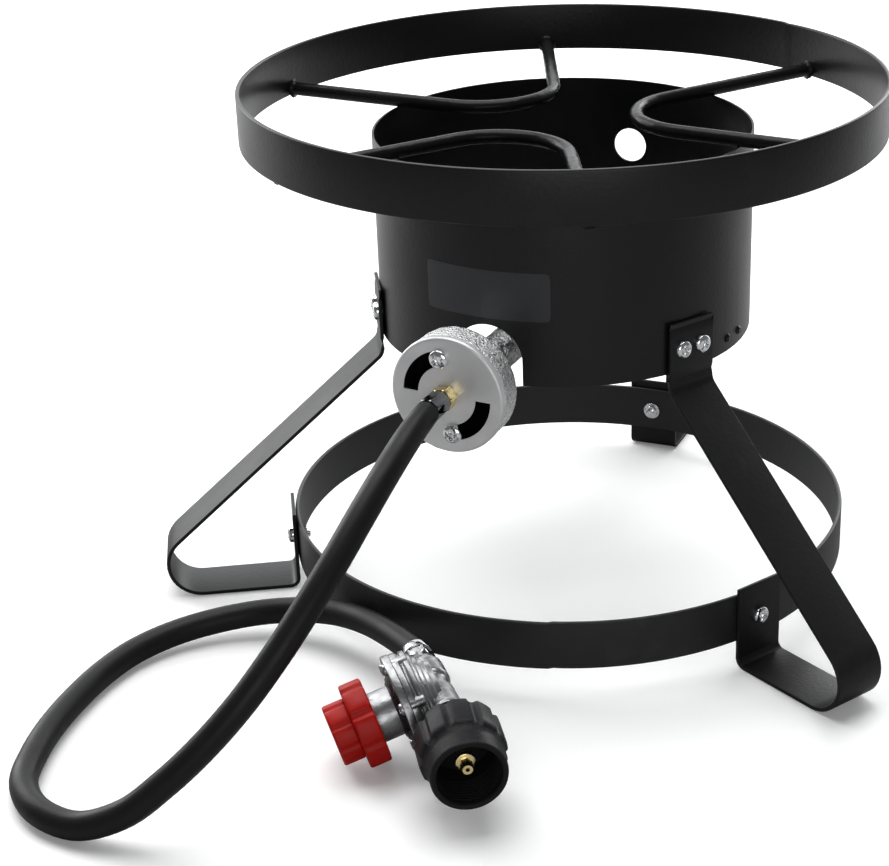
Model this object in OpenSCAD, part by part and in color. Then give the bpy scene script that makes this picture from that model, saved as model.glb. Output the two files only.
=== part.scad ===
// Outdoor gas burner stand: a pot ring on three bent rods and a wind guard,
// three strap legs with a base ring, a cast burner with an air shutter,
// and a hose that ends in an adjustable regulator with a coupling nut.
// Millimetres, +Z up, the floor at z = 0, the ring's axis at x = y = 0.

/* [Pot ring] */
// Outside diameter of the top ring
ring_od = 368; // [320:1:440]
// Thickness of the ring bars
bar_t = 2.5; // [1.5:0.1:5]
// Height of the ring bars
bar_h = 29; // [20:1:40]
// Height of the stand to the top edge of the pot ring
stand_h = 304; // [260:1:370]

/* [Pot rods] */
// Diameter of the bent rods
rod_d = 8; // [5:0.5:12]
// Half of the angle between the two arms of a rod
rod_half_angle = 31; // [26:1:36]
// Bend radius at the inner end of a rod
rod_bend_r = 42; // [28:1:50]
// Direction that the first rod points in
rod_az = 3.5; // [-20:0.5:20]
// Height of the rods' centre above the ring's lower edge
rod_lift = 3.5; // [0:0.5:10]

/* [Wind guard] */
// Outside diameter of the wind guard
guard_od = 218; // [190:1:250]
// Sheet thickness of the wind guard
guard_t = 1.2; // [0.8:0.1:3]
// Height of the wind guard
guard_h = 116; // [95:1:140]
// Width of the arched notch for the burner neck
notch_w = 40; // [34:1:60]
// Height of the arched notch
notch_h = 34; // [28:1:50]
// Diameter of the lighting hole
light_hole_d = 21; // [12:0.5:30]
// Height of the lighting hole above the guard's lower edge
light_hole_h = 75; // [50:1:90]
// Direction of the lighting hole
light_hole_az = 67; // [50:1:80]

/* [Base ring] */
// Outside diameter of the base ring
base_od = 335; // [300:1:380]
// Height of the base ring's lower edge above the floor
base_lift = 15; // [8:1:25]

/* [Legs] */
// Width of the strap
leg_w = 32; // [24:1:45]
// Thickness of the strap
leg_t = 2.2; // [1.5:0.1:4]
// Direction of the first leg
leg_az = -51; // [-60:0.5:-40]
// Distance from the middle to the outermost point of a foot
leg_reach = 247; // [225:1:300]
// Height of the upper tab that lies on the wind guard
tab_h = 30; // [24:1:45]
// Radius of the bend at the top of a leg
top_bend_r = 8; // [5:0.5:15]
// Radius of the bend at the foot
foot_bend_r = 20; // [12:1:26]
// Radius of the bend under the base ring
low_bend_r = 5; // [4:0.5:9]

/* [Leg fasteners] */
// Thread diameter of the leg screws
screw_d = 5; // [4:0.5:6]
// Head diameter of the leg screws
screw_head_d = 10.5; // [8:0.5:14]
// Distance between the two screws in an upper tab
screw_gap = 14; // [12:0.5:18]
// Width across the flats of the leg nuts
nut_af = 8; // [7:0.5:10]

/* [Burner] */
// Direction that the burner neck points in
burner_az = -113; // [-125:0.5:-105]
// Height of the burner neck's axis above the guard's lower edge
neck_lift = 12.5; // [10:0.5:16]
// Outside diameter of the burner neck
neck_d = 22; // [18:0.5:28]
// Diameter of the burner head
head_d = 100; // [80:1:130]
// Outside diameter of the burner bell
bell_d = 61; // [54:0.5:70]
// Distance from the middle to the front of the bell
bell_x = 159.5; // [150:0.5:175]
// Number of gas ports in the outer row
ports_out = 24; // [12:1:32]

/* [Air shutter] */
// Radius of the circle that the shutter screws sit on
slot_r = 21; // [19:0.1:22]
// Width of the curved slots
slot_w = 8.6; // [6:0.2:9]
// Angle of the curved slots
slot_angle = 87; // [60:1:95]
// Angle of the upper shutter screw
shutter_screw_angle = 99; // [90:1:110]

/* [Hose] */
// Outside diameter of the hose
hose_d = 15; // [12:0.5:18]

/* [Regulator] */
// Diameter of the regulator's round housing
housing_d = 56; // [50:1:64]
// Diameter of the spring tube under the knob
tube_d = 27; // [22:0.5:30]
// Diameter across the lobes of the knob's wheel
wheel_d = 46; // [40:1:54]
// Diameter across the lobes of the knob's hub
hub_d = 33; // [28:1:36]
// Diameter across the lobes of the coupling nut
coupling_d = 47.4; // [42:0.1:54]
// Inside diameter of the coupling nut's socket
socket_d = 32.6; // [26:0.1:34]

/* [Fits] */
// Gap between seated parts
seat = 0.05; // [0.02:0.01:0.1]
// Radial clearance of a screw in its hole
hole_play = 0.25; // [0.1:0.05:0.5]
// Radial clearance of turning parts
run_fit = 0.08; // [0.03:0.01:0.1]

/* [Hidden] */
$fn = 96;
black = "#1d1d1f";
zinc = "#b9bcbe";
bright = "#d5d7d9";
cast = "#a9acaf";
brass = "#c9a24d";
ring_low = stand_h - bar_h;
rod_z = ring_low + rod_lift;
ring_in = ring_od / 2 - bar_t;
rod_v = 3;
rod_c = rod_v + rod_bend_r / sin(rod_half_angle);
rod_end_r = ring_in - seat - rod_d * rod_d / 8 / ring_in;
rod_s = sqrt(pow(rod_end_r, 2) - pow(rod_v * sin(rod_half_angle), 2)) - rod_v * cos(rod_half_angle);
hair = 0.02;
guard_top = rod_z - rod_d / 2 - seat;
guard_low = guard_top - guard_h;
guard_r = guard_od / 2;
base_r = base_od / 2;
// Legs: centre line radii of the two tabs, and the slope that joins the bends
tab_r = guard_r + seat + leg_t / 2;
low_r = base_r + seat + leg_t / 2;
top_z = guard_low - 6;
foot_x = leg_reach - leg_t / 2 - foot_bend_r;
foot_z = leg_t / 2 + foot_bend_r;
function slope(a, n) = n == 0 ? a : slope(atan(
    (top_z - top_bend_r * cos(a) - foot_z - foot_bend_r * cos(a)) /
    (foot_x + foot_bend_r * sin(a) - tab_r - top_bend_r + top_bend_r * sin(a))), n - 1);
leg_a = slope(41, 30);
slope_len = (foot_x + foot_bend_r * sin(leg_a) - tab_r - top_bend_r + top_bend_r * sin(leg_a)) / cos(leg_a);
tab_top = guard_low + tab_h;
tab_len = tab_top - top_z;
flat_len = foot_x - low_r - low_bend_r;
low_top = base_lift + bar_h + 5;
low_len = low_top - low_bend_r - leg_t / 2;
tab_screw_z = guard_low + 14;
low_screw_z = base_lift + bar_h / 2 - 1;
head_h = 3.4;
nut_h = 3.5;
// Burner
neck_z = guard_low + neck_lift;
plate_t = 1.2;
plate_x = bell_x + 0.3;
plate_front = plate_x + plate_t;
skirt_d = bell_d + 2 * 0.6;
plate_d = skirt_d + 3.2;
hex_len = 7;
ferrule_len = 15.3;
hose_x = plate_front + seat + hex_len + seat + ferrule_len;
bar_z = neck_z - 11;
bar_az = burner_az + 84;
// Regulator pose: turned about x, y and z, then moved
reg_pos = [-85, -227, 30.2];
reg_rot = [15.5, -1, -72];
gas_y = 17;
nut_x0 = 43.5;
inlet_x = 33;
inlet_turn = -6;
tail_x = -44;

module at_burner() {
    rotate([0, 0, burner_az])
        translate([0, 0, neck_z])
            rotate([0, 90, 0])
                children();
}

module at_reg() {
    translate(reg_pos)
        rotate(reg_rot)
            children();
}

module at_gas(x) {
    at_reg()
        translate([x, gas_y, 0])
            rotate([0, 90, 0])
                children();
}

// The inlet leaves the body at a slight angle to the gas tube
module at_inlet(x) {
    at_reg()
        translate([inlet_x, gas_y, 0])
            rotate([0, 0, inlet_turn])
                translate([x - inlet_x, 0, 0])
                    rotate([0, 90, 0])
                        children();
}

module at_knob(y) {
    at_reg()
        translate([0, y, 0])
            rotate([90, 0, 0])
                children();
}

module pipe(d1, d2, h) {
    difference() {
        cylinder(d = d1, h = h);
        translate([0, 0, -1])
            cylinder(d = d2, h = h + 2);
    }
}

// Slice of a ring, from angle a0 counterclockwise through a
module slice(r1, r2, h, a0, a) {
    rotate([0, 0, a0])
        rotate_extrude(angle = a)
            translate([r1, 0])
                square([r2 - r1, h]);
}

// Pan head screw: head above z = 0, shank below
module pan_screw(d, hd, hh, len) {
    difference() {
        union() {
            cylinder(d = hd, h = hh * 0.45);
            translate([0, 0, hh * 0.45])
                cylinder(d1 = hd, d2 = hd * 0.72, h = hh * 0.4);
            translate([0, 0, hh * 0.85])
                cylinder(d1 = hd * 0.72, d2 = hd * 0.4, h = hh * 0.15);
            translate([0, 0, -len])
                cylinder(d = d, h = len + 0.5);
        }
        translate([-hd * 0.29, -hd * 0.06, hh * 0.45])
            cube([hd * 0.58, hd * 0.12, hh]);
        translate([-hd * 0.06, -hd * 0.29, hh * 0.45])
            cube([hd * 0.12, hd * 0.58, hh]);
    }
}

module hex_nut(af, d, h) {
    difference() {
        cylinder(d = af / cos(30), h = h, $fn = 6);
        translate([0, 0, -1])
            cylinder(d = d, h = h + 2);
    }
}

module top_ring() {
    color(black)
        translate([0, 0, ring_low])
            pipe(ring_od, ring_od - 2 * bar_t, bar_h);
}

module pot_rod(n) {
    color(black)
        rotate([0, 0, rod_az + 120 * n])
            translate([0, 0, rod_z]) {
                translate([rod_c, 0, 0])
                    rotate([0, 0, 90 + rod_half_angle])
                        rotate_extrude(angle = 180 - 2 * rod_half_angle)
                            translate([rod_bend_r, 0])
                                circle(d = rod_d + 2 * hair, $fn = 48);
                for (s = [-1, 1])
                    translate([rod_c - rod_bend_r * sin(rod_half_angle), s * rod_bend_r * cos(rod_half_angle), 0])
                        rotate([0, 90, s * rod_half_angle])
                            translate([0, 0, -0.3])
                                cylinder(d = rod_d, h = rod_s - rod_bend_r / tan(rod_half_angle) + 0.3, $fn = 48);
            }
}

module rod_a() pot_rod(0);
module rod_b() pot_rod(1);
module rod_c_node() pot_rod(2);

// Weld bead round the end of each rod arm, against the ring
module rod_welds() {
    color(black)
        for (n = [0:2], s = [-1, 1])
            rotate([0, 0, rod_az + 120 * n])
                translate([rod_v, 0, rod_z])
                    rotate([0, 90, s * rod_half_angle])
                        translate([0, 0, rod_s - 3.1])
                            difference() {
                                cylinder(d1 = rod_d + 1, d2 = rod_d + 5, h = 3);
                                translate([0, 0, -1])
                                    cylinder(d = rod_d, h = 5);
                            }
}

module wind_guard() {
    color(black)
        difference() {
            translate([0, 0, guard_low])
                pipe(guard_od, guard_od - 2 * guard_t, guard_h);
            rotate([0, 0, burner_az])
                translate([guard_r - 15, 0, guard_low + notch_h - notch_w / 2])
                    rotate([0, 90, 0])
                        cylinder(d = notch_w, h = 25);
            rotate([0, 0, burner_az])
                translate([guard_r - 15, -notch_w / 2, guard_low - 1])
                    cube([25, notch_w, notch_h - notch_w / 2 + 1]);
            rotate([0, 0, light_hole_az])
                translate([guard_r - 15, 0, guard_low + light_hole_h])
                    rotate([0, 90, 0])
                        cylinder(d = light_hole_d, h = 25);
            leg_screw_holes();
            bar_rivet_holes();
        }
}

module leg_screw_holes() {
    for (n = [0:2], s = [-1, 1])
        rotate([0, 0, leg_az + 120 * n])
            translate([guard_r - 15, s * screw_gap / 2, tab_screw_z])
                rotate([0, 90, 0])
                    cylinder(d = screw_d + 2 * hole_play, h = 25, $fn = 32);
}

module bar_rivet_holes() {
    for (n = [0, 1], s = [-1, 1])
        rotate([0, 0, bar_az + 180 * n])
            translate([guard_r - 15, s * 7, bar_z + 6])
                rotate([0, 90, 0])
                    cylinder(d = 3.2 + 2 * hole_play, h = 25, $fn = 24);
}

module base_ring() {
    color(black)
        difference() {
            translate([0, 0, base_lift])
                pipe(base_od, base_od - 2 * bar_t, bar_h);
            for (n = [0:2])
                rotate([0, 0, leg_az + 120 * n])
                    translate([base_r - 10, 0, low_screw_z])
                        rotate([0, 90, 0])
                            cylinder(d = screw_d + 2 * hole_play, h = 20, $fn = 32);
        }
}

// Straight strap along x, and bends that carry on from its end. The straight
// pieces run 0.3 mm into the bends, which are a hair thicker.
module strap(len) {
    translate([-0.3, -leg_t / 2, -leg_w / 2])
        cube([len + 0.6, leg_t, leg_w]);
}

module strap_bend(r, a) {
    if (a > 0)
        translate([0, r, -leg_w / 2 - hair])
            slice(r - leg_t / 2 - hair, r + leg_t / 2 + hair, leg_w + 2 * hair, -90, a);
    else
        translate([0, -r, -leg_w / 2 - hair])
            slice(r - leg_t / 2 - hair, r + leg_t / 2 + hair, leg_w + 2 * hair, 90 + a, -a);
}

module strap_leg(n) {
    color(black)
        rotate([0, 0, leg_az + 120 * n])
            difference() {
                rotate([90, 0, 0]) {
                    translate([tab_r, top_z, 0])
                        rotate([0, 0, 90])
                            strap(tab_len);
                    translate([tab_r, top_z, 0])
                        rotate([0, 0, -90])
                            strap_bend(top_bend_r, 90 - leg_a);
                    translate([tab_r + top_bend_r * (1 - sin(leg_a)), top_z - top_bend_r * cos(leg_a), 0])
                        rotate([0, 0, -leg_a])
                            strap(slope_len);
                    translate([foot_x + foot_bend_r * sin(leg_a), foot_z + foot_bend_r * cos(leg_a), 0])
                        rotate([0, 0, -leg_a])
                            strap_bend(foot_bend_r, leg_a - 180);
                    translate([low_r + low_bend_r, leg_t / 2, 0])
                        strap(flat_len);
                    translate([low_r + low_bend_r, leg_t / 2, 0])
                        rotate([0, 0, 180])
                            strap_bend(low_bend_r, -90);
                    translate([low_r, leg_t / 2 + low_bend_r, 0])
                        rotate([0, 0, 90])
                            strap(low_len);
                }
                for (s = [-1, 1])
                    translate([tab_r - 5, s * screw_gap / 2, tab_screw_z])
                        rotate([0, 90, 0])
                            cylinder(d = screw_d + 2 * hole_play, h = 10, $fn = 32);
                translate([low_r - 5, 0, low_screw_z])
                    rotate([0, 90, 0])
                        cylinder(d = screw_d + 2 * hole_play, h = 10, $fn = 32);
            }
}

module leg_right() strap_leg(0);
module leg_back() strap_leg(1);
module leg_left() strap_leg(2);

module guard_screws() {
    color(bright)
        for (n = [0:2], s = [-1, 1])
            rotate([0, 0, leg_az + 120 * n])
                translate([tab_r + leg_t / 2 + seat, s * screw_gap / 2, tab_screw_z])
                    rotate([0, 90, 0])
                        rotate([0, 0, 25 + 40 * s + 30 * n])
                            pan_screw(screw_d, screw_head_d, head_h, 10, $fn = 48);
}

module guard_nuts() {
    nut_x = sqrt(pow(guard_r - guard_t, 2) - pow(screw_gap / 2 + nut_af / 2, 2)) - seat;
    color(zinc)
        for (n = [0:2], s = [-1, 1])
            rotate([0, 0, leg_az + 120 * n])
                translate([nut_x - nut_h, s * screw_gap / 2, tab_screw_z])
                    rotate([0, 90, 0])
                        hex_nut(nut_af, screw_d + 2 * seat, nut_h);
}

module base_screws() {
    color(bright)
        for (n = [0:2])
            rotate([0, 0, leg_az + 120 * n])
                translate([low_r + leg_t / 2 + seat, 0, low_screw_z])
                    rotate([0, 90, 0])
                        rotate([0, 0, 20 + 50 * n])
                            pan_screw(screw_d, screw_head_d, head_h, 12, $fn = 48);
}

module base_nuts() {
    nut_x = base_r - bar_t - pow(nut_af / 2, 2) / 2 / (base_r - bar_t) - seat;
    color(zinc)
        for (n = [0:2])
            rotate([0, 0, leg_az + 120 * n])
                translate([nut_x - nut_h, 0, low_screw_z])
                    rotate([0, 90, 0])
                        hex_nut(nut_af, screw_d + 2 * seat, nut_h);
}

// One casting: gas head, neck, and bell with a web across its mouth
module burner_casting() {
    color(cast)
        difference() {
            union() {
                rotate([0, 0, burner_az])
                    translate([0, 0, neck_z - 8])
                        cylinder(d = head_d, h = 28);
                at_burner() {
                    translate([0, 0, head_d / 2 - 8])
                        cylinder(d = neck_d, h = bell_x - head_d / 2 - 24);
                    translate([0, 0, bell_x - 33])
                        cylinder(d1 = neck_d, d2 = bell_d + 3.4, h = 15);
                    translate([0, 0, bell_x - 18.1])
                        cylinder(d = bell_d + 3.4, h = 14.6);
                    translate([0, 0, bell_x - 4])
                        cylinder(d = bell_d, h = 4);
                }
            }
            translate([0, 0, neck_z - 4])
                pipe(head_d - 10, 16, 30);
            at_burner() {
                translate([0, 0, 22])
                    cylinder(d = neck_d - 8, h = bell_x - 51);
                translate([0, 0, bell_x - 30])
                    cylinder(d1 = neck_d - 8, d2 = bell_d - 8, h = 15);
                translate([0, 0, bell_x - 15])
                    cylinder(d = bell_d - 8, h = 10);
                for (a = [13, 193])
                    translate([0, 0, bell_x - 6])
                        slice(slot_r - slot_w / 2, slot_r + slot_w / 2, 8, shutter_screw_angle + a + 90, 66);
                translate([0, 0, bell_x - 6])
                    cylinder(d = 10 + 2 * seat, h = 8);
                for (a = [0, 180])
                    rotate([0, 0, shutter_screw_angle + a + 90])
                        translate([slot_r, 0, bell_x - 6])
                            cylinder(d = 4 + 2 * seat, h = 8, $fn = 32);
            }
            translate([0, 0, neck_z - 9])
                cylinder(d = 6 + 2 * seat, h = 14, $fn = 32);
            translate([0, 0, neck_z + 10])
                cylinder(d = 5 + 2 * seat, h = 12, $fn = 32);
        }
}

module burner_cap() {
    color("#4a4b4d")
        translate([0, 0, neck_z + 20 + seat])
            difference() {
                union() {
                    cylinder(d = head_d, h = 4);
                    translate([0, 0, 4])
                        cylinder(d1 = head_d, d2 = head_d - 12, h = 3);
                }
                translate([0, 0, -1])
                    cylinder(d = 5 + 2 * hole_play, h = 12, $fn = 32);
                for (a = [0:ports_out - 1])
                    rotate([0, 0, a * 360 / ports_out])
                        translate([head_d / 2 - 11, 0, -1])
                            cylinder(d = 2.6, h = 12, $fn = 16);
                for (a = [0:15])
                    rotate([0, 0, a * 22.5])
                        translate([head_d / 2 - 22, 0, -1])
                            cylinder(d = 2.6, h = 12, $fn = 16);
            }
}

module cap_screw() {
    color(zinc)
        translate([0, 0, neck_z + 27 + 2 * seat])
            pan_screw(5, 10, 3.4, 16, $fn = 48);
}

// Flat bar across the guard that carries the burner, with its ends turned up
module burner_bar() {
    end_x = sqrt(pow(guard_r - guard_t, 2) - pow(12, 2)) - seat;
    color(black)
        rotate([0, 0, bar_az])
            difference() {
                union() {
                    translate([-end_x, -12, bar_z])
                        cube([2 * end_x, 24, 3 - seat]);
                    for (s = [0, 1])
                        mirror([s, 0, 0])
                            translate([end_x - 3, -12, bar_z])
                                cube([3, 24, 14]);
                }
                translate([0, 0, bar_z - 1])
                    cylinder(d = 6 + 2 * hole_play, h = 6, $fn = 32);
                for (x = [-1, 1], y = [-1, 1])
                    translate([x * (end_x - 1.5) - 4, y * 7, bar_z + 6])
                        rotate([0, 90, 0])
                            cylinder(d = 3.2 + 2 * hole_play, h = 8, $fn = 24);
            }
}

module bar_rivets() {
    out_x = sqrt(pow(guard_r, 2) - pow(7 - 2.6, 2)) + seat;
    in_x = sqrt(pow(guard_r - guard_t, 2) - pow(12, 2)) - 3 - 2 * seat;
    color(black)
        for (n = [0, 1], s = [-1, 1])
            rotate([0, 0, bar_az + 180 * n])
                translate([0, s * 7, bar_z + 6])
                    rotate([0, 90, 0]) {
                        translate([0, 0, out_x])
                            cylinder(d1 = 5.2, d2 = 3, h = 1.3, $fn = 32);
                        translate([0, 0, in_x - 0.2])
                            cylinder(d = 3.2, h = out_x - in_x + 0.4, $fn = 24);
                        translate([0, 0, in_x - 1.2])
                            cylinder(d1 = 3.5, d2 = 5.2, h = 1.2, $fn = 32);
                    }
}

module head_bolt() {
    color(zinc)
        translate([0, 0, bar_z - seat]) {
            translate([0, 0, -3.6])
                cylinder(d = 10 / cos(30), h = 3.6, $fn = 6);
            cylinder(d = 6, h = 9, $fn = 32);
        }
}

module air_shutter() {
    color(bright)
        at_burner()
            difference() {
                union() {
                    translate([0, 0, plate_x])
                        cylinder(d = plate_d - 1.6, h = plate_t);
                    translate([0, 0, plate_x - 3])
                        cylinder(d = plate_d, h = 3.4);
                    translate([0, 0, plate_x + 0.4])
                        cylinder(d1 = plate_d, d2 = plate_d - 1.6, h = plate_t - 0.4);
                }
                translate([0, 0, plate_x - 6])
                    cylinder(d = skirt_d, h = 6);
                translate([0, 0, plate_x - 1])
                    cylinder(d = 10 + 2 * run_fit, h = 4);
                for (a = [-8, 172])
                    translate([0, 0, plate_x - 1])
                        slice(slot_r - slot_w / 2, slot_r + slot_w / 2, 4, shutter_screw_angle + a + 90, slot_angle);
            }
}

module shutter_screws() {
    color(bright)
        at_burner()
            for (a = [0, 180])
                rotate([0, 0, shutter_screw_angle + a + 90])
                    translate([slot_r, 0, plate_front + 0.1])
                        rotate([0, 0, 30 + a / 4])
                            pan_screw(4, 10.8, 3.6, 6.5, $fn = 48);
}

// Hex fitting with its gas jet, screwed into the web of the bell
module orifice_fitting() {
    color(brass)
        at_burner()
            difference() {
                union() {
                    translate([0, 0, plate_front + seat])
                        cylinder(d = 12 / cos(30), h = hex_len, $fn = 6);
                    translate([0, 0, bell_x - 6])
                        cylinder(d = 10, h = 9, $fn = 48);
                    translate([0, 0, bell_x - 14])
                        cylinder(d1 = 4, d2 = 7, h = 8.5, $fn = 48);
                }
                translate([0, 0, bell_x - 15])
                    cylinder(d = 1.4, h = 12, $fn = 16);
                translate([0, 0, bell_x - 5])
                    cylinder(d = 5, h = 20, $fn = 32);
            }
}

module burner_ferrule() {
    color("#6f7276")
        at_burner()
            translate([0, 0, plate_front + hex_len + 2 * seat])
                difference() {
                    union() {
                        cylinder(d = 11, h = 2.2, $fn = 48);
                        translate([0, 0, 2])
                            cylinder(d = 14, h = ferrule_len - 2, $fn = 8);
                    }
                    translate([0, 0, -1])
                        cylinder(d = 5, h = 20, $fn = 32);
                }
}

// Hose centre line in mm, from the burner's ferrule to the regulator's tail
hose_start = [hose_x * cos(burner_az), hose_x * sin(burner_az), neck_z];
hose_mid = [
    [-79.5, -188.5, 167], [-90, -213, 158], [-101.5, -235, 145], [-114, -254.5, 129],
    [-127.5, -270.5, 111.5], [-142.5, -284, 92.5], [-159, -294.5, 73], [-177.5, -301, 53.5],
    [-197.5, -304.5, 35], [-219, -305, 18], [-244, -301, 8.2], [-267, -287, 7.6],
    [-280, -263, 7.6], [-281, -235, 7.6], [-277.5, -207.5, 7.6], [-270.5, -180, 7.6],
    [-261, -154, 7.6], [-247.5, -131, 8], [-228, -113.5, 9.3], [-204.5, -103, 11.5],
    [-179, -99.5, 14.7], [-154, -105, 19.2], [-132, -118.5, 24.5], [-113.5, -137, 29],
    [-97.5, -158, 32]
];
function turn_x(p, a) = [p[0], p[1] * cos(a) - p[2] * sin(a), p[1] * sin(a) + p[2] * cos(a)];
function turn_y(p, a) = [p[0] * cos(a) + p[2] * sin(a), p[1], -p[0] * sin(a) + p[2] * cos(a)];
function turn_z(p, a) = [p[0] * cos(a) - p[1] * sin(a), p[0] * sin(a) + p[1] * cos(a), p[2]];
function reg_turn(p) = turn_z(turn_y(turn_x(p, reg_rot[0]), reg_rot[1]), reg_rot[2]);
hose_end = reg_pos + reg_turn([tail_x, gas_y, 0]);
hose_path = concat([hose_start], hose_mid, [hose_end]);
hose_n = len(hose_path);
hose_sides = 12;
function unit(v) = v / norm(v);
function hose_dir(i) =
    i == 0 ? [cos(burner_az), sin(burner_az), 0] :
    i == hose_n - 1 ? reg_turn([1, 0, 0]) :
    unit(hose_path[i + 1] - hose_path[i - 1]);
function hose_side(i) = unit(cross(hose_dir(i), [0, 0, 1]));
function hose_pt(i, j) =
    hose_path[i]
    + hose_d / 2 * cos(j * 360 / hose_sides) * hose_side(i)
    + hose_d / 2 * sin(j * 360 / hose_sides) * cross(hose_side(i), hose_dir(i));

module hose() {
    m = hose_sides;
    pts = [for (i = [0:hose_n - 1], j = [0:m - 1]) hose_pt(i, j)];
    walls = [for (i = [0:hose_n - 2], j = [0:m - 1])
        [i * m + j, i * m + (j + 1) % m, (i + 1) * m + (j + 1) % m, (i + 1) * m + j]];
    caps = [[for (j = [m - 1:-1:0]) j], [for (j = [0:m - 1]) (hose_n - 1) * m + j]];
    color("#151516")
        polyhedron(points = pts, faces = concat(walls, caps), convexity = 10);
}

// Tail fitting: crimped sleeve that holds the hose in the regulator
module tail_ferrule() {
    color(zinc)
        at_gas(tail_x + seat) {
            cylinder(d = 17, h = 6, $fn = 64);
            translate([0, 0, 5.9])
                cylinder(d = 15 / cos(30), h = 6.9, $fn = 6);
            translate([0, 0, 12])
                cylinder(d = 9, h = 8, $fn = 48);
        }
}

module regulator_body() {
    color(cast)
        difference() {
            union() {
                at_knob(9)
                    cylinder(d = housing_d, h = 8.6);
                at_knob(19)
                    cylinder(d1 = 34, d2 = 44, h = 10.5);
                at_gas(-31)
                    cylinder(d = 20, h = 58);
                at_inlet(28)
                    cylinder(d = 16, h = 20.5);
                at_gas(25)
                    cylinder(d = 18 / cos(30), h = 7, $fn = 6);
                for (a = [0:5])
                    at_knob(9)
                        rotate([0, 0, 60 * a + 30])
                            translate([housing_d / 2 - 3.5, 0, 0])
                                cylinder(d = 8, h = 8.6, $fn = 32);
            }
            at_knob(6)
                cylinder(d = housing_d - 16, h = 8);
            at_gas(10)
                cylinder(d = 7, h = 24, $fn = 32);
            at_inlet(32)
                cylinder(d = 8 + 2 * seat, h = 20, $fn = 32);
            at_gas(-34)
                cylinder(d = 9 + 2 * seat, h = 14, $fn = 48);
            for (a = [0:5])
                at_knob(7)
                    rotate([0, 0, 60 * a + 30])
                        translate([housing_d / 2 - 3.5, 0, 0])
                            cylinder(d = 3.5 + 2 * seat, h = 8.6, $fn = 24);
        }
}

module diaphragm() {
    color("#2b2b2b")
        at_knob(0.4 - seat)
            difference() {
                cylinder(d = housing_d - 1, h = 0.8 - 2 * seat);
                for (a = [0:5])
                    rotate([0, 0, 60 * a + 30])
                        translate([housing_d / 2 - 3.5, 0, -1])
                            cylinder(d = 3.5 + 2 * hole_play, h = 4, $fn = 24);
            }
}

// Cover with the spring tube that the knob's screw runs in
module regulator_cover() {
    color(cast)
        at_knob(-0.4)
            difference() {
                union() {
                    cylinder(d = housing_d, h = 3);
                    translate([0, 0, 3])
                        cylinder(d1 = housing_d - 15, d2 = tube_d + 3, h = 3);
                    cylinder(d = tube_d, h = 18.6);
                    for (a = [0:5])
                        rotate([0, 0, 60 * a + 30])
                            translate([housing_d / 2 - 3.5, 0, 0])
                                cylinder(d = 8, h = 3, $fn = 32);
                }
                translate([0, 0, -1])
                    cylinder(d = tube_d - 6, h = 15.6);
                translate([0, 0, 13])
                    cylinder(d = 8 + 2 * run_fit, h = 8, $fn = 48);
                for (a = [0:5])
                    rotate([0, 0, 60 * a + 30])
                        translate([housing_d / 2 - 3.5, 0, -1])
                            cylinder(d = 3.5 + 2 * hole_play, h = 8, $fn = 24);
            }
}

module cover_screws() {
    color(bright)
        for (a = [0:5])
            at_knob(-3.4 - seat)
                rotate([0, 0, 60 * a + 30])
                    translate([housing_d / 2 - 3.5, 0, 0])
                        pan_screw(3.5, 6.5, 2.2, 9, $fn = 32);
}

module spring_plate() {
    color(zinc)
        at_knob(-0.4 - seat)
            cylinder(d = tube_d - 7, h = 1.4);
}

// Coil spring between the diaphragm plate and the adjusting screw
module reg_spring() {
    turns = 4;
    steps = 12 * turns;
    m = 6;
    wire_r = 0.9;
    coil_r = 7;
    rise = 7.3;
    pts = [for (i = [0:steps], j = [0:m - 1])
        let (a = i * 30, b = j * 60, r = coil_r + wire_r * cos(b))
        [r * cos(a), r * sin(a), wire_r + i * rise / steps + wire_r * sin(b)]];
    walls = [for (i = [0:steps - 1], j = [0:m - 1])
        [i * m + j, i * m + (j + 1) % m, (i + 1) * m + (j + 1) % m, (i + 1) * m + j]];
    caps = [[for (j = [m - 1:-1:0]) j], [for (j = [0:m - 1]) steps * m + j]];
    color(zinc)
        at_knob(-1.8 - 2 * seat)
            polyhedron(points = pts, faces = concat(walls, caps), convexity = 10);
}

// Adjusting screw and its pressure foot, which turn with the knob
module knob_screw() {
    color(zinc)
        at_knob(-11.3) {
            cylinder(d = 16, h = 1.5);
            cylinder(d = 8, h = 20.5, $fn = 48);
        }
}

module lobed(d, n, lobe, h) {
    linear_extrude(h) {
        circle(d = d - 3);
        for (a = [0:n - 1])
            rotate([0, 0, a * 360 / n])
                translate([d / 2 - lobe, 0])
                    circle(r = lobe, $fn = 48);
    }
}

module control_knob() {
    color("#b3201f")
        at_knob(-17.4)
            difference() {
                union() {
                    lobed(wheel_d, 8, 6, 12);
                    translate([0, 0, 11.9])
                        lobed(hub_d, 8, 5, 12.1);
                }
                translate([0, 0, -1])
                    cylinder(d = tube_d + 1.2, h = 4);
                translate([0, 0, -1])
                    cylinder(d = 8 + 2 * seat, h = 15.6, $fn = 48);
            }
}

module inlet_nipple() {
    color(brass)
        at_inlet(nut_x0 - 5)
            difference() {
                union() {
                    cylinder(d = 8, h = 12, $fn = 48);
                    translate([0, 0, 11.75])
                        cylinder(d = 22, h = 2.3);
                    translate([0, 0, 13])
                        cylinder(d = 7.6, h = 17, $fn = 48);
                    translate([0, 0, 27.5])
                        cylinder(d = 10.5, h = 3.5, $fn = 48);
                    translate([0, 0, 31])
                        cylinder(d = 6.4, h = 6, $fn = 6);
                }
                translate([0, 0, -1])
                    cylinder(d = 2.2, h = 45, $fn = 24);
            }
}

module nipple_seal() {
    color("#1a1a1a")
        at_inlet(nut_x0 + 9.15)
            pipe(20, 7.6 + 2 * seat, 2.4);
}

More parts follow.
